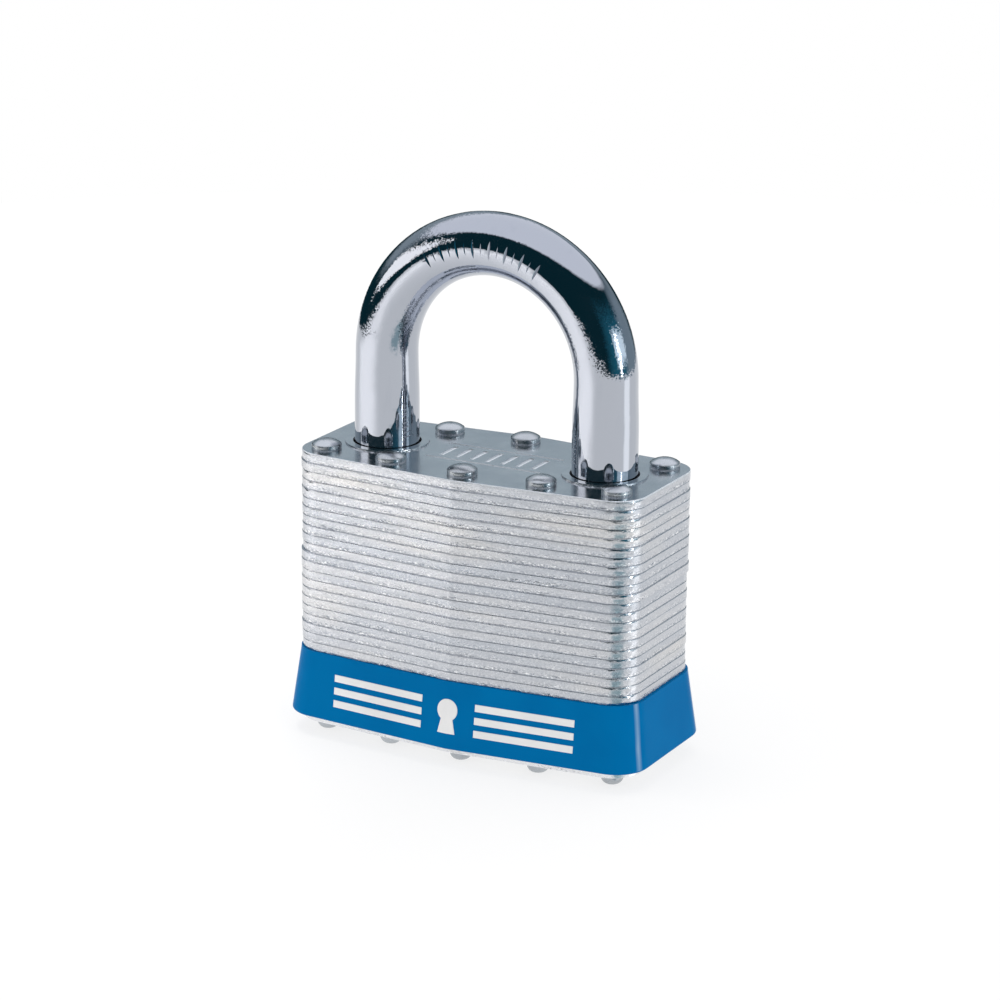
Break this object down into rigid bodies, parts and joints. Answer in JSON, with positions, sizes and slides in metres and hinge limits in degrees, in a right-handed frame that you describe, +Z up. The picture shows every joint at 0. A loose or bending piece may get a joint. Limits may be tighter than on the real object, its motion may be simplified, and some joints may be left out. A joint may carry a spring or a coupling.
{
  "type": "laminated padlock",
  "caption": "Keyed padlock with a riveted body of stacked steel plates, a bent-bar shackle, and a flared plastic bumper round the foot.",
  "frame": {"origin": "under the middle of the body, level with the rivet tails it stands on", "axes": "+X from the heel leg to the toe leg of the shackle, +Y front to back, +Z up along the shackle legs"},
  "size_m": [0.0536, 0.027, 0.0731],
  "materials": {
    "plate_steel": "zinc-plated punched steel, satin faces and sheared edges",
    "rivet_steel": "bright plated, smooth domes",
    "shackle_chrome": "polished plating over hardened steel",
    "blue_plastic": "glossy moulded vinyl",
    "white_plastic": "white plastic inlay, satin",
    "cast_brass": "machined brass, matt",
    "plug_brass": "turned brass, satin",
    "lever_steel": "hardened steel, dull",
    "spring_wire": "drawn spring wire"
  },
  "bodies": {
    "case": {"top_plate": "plate_steel", "lamination_02": "plate_steel", "lamination_03": "plate_steel", "lamination_04": "plate_steel", "lamination_05": "plate_steel", "lamination_06": "plate_steel", "lamination_07": "plate_steel", "lamination_08": "plate_steel", "lamination_09": "plate_steel", "lamination_10": "plate_steel", "lamination_11": "plate_steel", "lamination_12": "plate_steel", "lamination_13": "plate_steel", "lamination_14": "plate_steel", "lamination_15": "plate_steel", "lamination_16": "plate_steel", "lamination_17": "plate_steel", "lamination_18": "plate_steel", "lamination_19": "plate_steel", "lamination_20": "plate_steel", "lamination_21": "plate_steel", "lamination_22": "plate_steel", "lamination_23": "plate_steel", "lamination_24": "plate_steel", "lamination_25": "plate_steel", "lamination_26": "plate_steel", "lamination_27": "plate_steel", "lamination_28": "plate_steel", "lamination_29": "plate_steel", "bottom_plate": "plate_steel", "bumper": "blue_plastic", "bumper_inlay": "white_plastic", "rivets": "rivet_steel", "lever_pivot_pins": "lever_steel", "toe_lever_spring": "spring_wire", "heel_lever_spring": "spring_wire", "shackle_spring": "spring_wire", "cylinder_housing": "cast_brass", "pin_chamber_cover": "cast_brass", "pin_spring_1": "spring_wire", "pin_spring_2": "spring_wire", "pin_spring_3": "spring_wire", "pin_spring_4": "spring_wire"},
    "shackle": {"shackle": "shackle_chrome"},
    "plug": {"plug": "plug_brass", "plug_clip": "spring_wire", "cam": "lever_steel"},
    "toe_lever": {"toe_lever": "lever_steel"},
    "heel_lever": {"heel_lever": "lever_steel"},
    "key_pin_1": {"key_pin_1": "plug_brass"},
    "driver_pin_1": {"driver_pin_1": "plug_brass"},
    "key_pin_2": {"key_pin_2": "plug_brass"},
    "driver_pin_2": {"driver_pin_2": "plug_brass"},
    "key_pin_3": {"key_pin_3": "plug_brass"},
    "driver_pin_3": {"driver_pin_3": "plug_brass"},
    "key_pin_4": {"key_pin_4": "plug_brass"},
    "driver_pin_4": {"driver_pin_4": "plug_brass"}
  },
  "joints": [
    {"name": "shackle_lift", "type": "slide", "parent": "case", "child": "shackle", "axis": [0, 0, 1], "range_m": [0, 0.017], "deforming": ["shackle_spring"]},
    {"name": "plug_turn", "type": "hinge", "parent": "case", "child": "plug", "pos_m": [0, 0, 0.0117], "axis": [0, 0, -1], "range_deg": [0, 60]},
    {"name": "toe_lever_swing", "type": "hinge", "parent": "case", "child": "toe_lever", "pos_m": [0.0076, 0.0054, 0.0285], "axis": [0, 0, 1], "range_deg": [0, 20], "deforming": ["toe_lever_spring"]},
    {"name": "heel_lever_swing", "type": "hinge", "parent": "case", "child": "heel_lever", "pos_m": [-0.0076, -0.0054, 0.0285], "axis": [0, 0, 1], "range_deg": [0, 20], "deforming": ["heel_lever_spring"]},
    {"name": "driver_pin_1_slide", "type": "slide", "parent": "case", "child": "driver_pin_1", "axis": [1, 0, 0], "range_m": [0, 0.002], "stiffness_N_per_m": 60, "springref_m": -0.003, "deforming": ["pin_spring_1"]},
    {"name": "key_pin_1_slide", "type": "slide", "parent": "plug", "child": "key_pin_1", "axis": [-0.5, -0.866, 0], "range_m": [0, 0.00155]},
    {"name": "driver_pin_2_slide", "type": "slide", "parent": "case", "child": "driver_pin_2", "axis": [1, 0, 0], "range_m": [0, 0.002], "stiffness_N_per_m": 60, "springref_m": -0.003, "deforming": ["pin_spring_2"]},
    {"name": "key_pin_2_slide", "type": "slide", "parent": "plug", "child": "key_pin_2", "axis": [-0.5, -0.866, 0], "range_m": [0, 0.00225]},
    {"name": "driver_pin_3_slide", "type": "slide", "parent": "case", "child": "driver_pin_3", "axis": [1, 0, 0], "range_m": [0, 0.002], "stiffness_N_per_m": 60, "springref_m": -0.003, "deforming": ["pin_spring_3"]},
    {"name": "key_pin_3_slide", "type": "slide", "parent": "plug", "child": "key_pin_3", "axis": [-0.5, -0.866, 0], "range_m": [0, 0.00135]},
    {"name": "driver_pin_4_slide", "type": "slide", "parent": "case", "child": "driver_pin_4", "axis": [1, 0, 0], "range_m": [0, 0.002], "stiffness_N_per_m": 60, "springref_m": -0.003, "deforming": ["pin_spring_4"]},
    {"name": "key_pin_4_slide", "type": "slide", "parent": "plug", "child": "key_pin_4", "axis": [-0.5, -0.866, 0], "range_m": [0, 0.00195]}
  ],
  "couplings": [
    {"joint": "toe_lever_swing", "follows": "plug_turn", "ratio": 0.33333},
    {"joint": "heel_lever_swing", "follows": "plug_turn", "ratio": 0.33333}
  ]
}
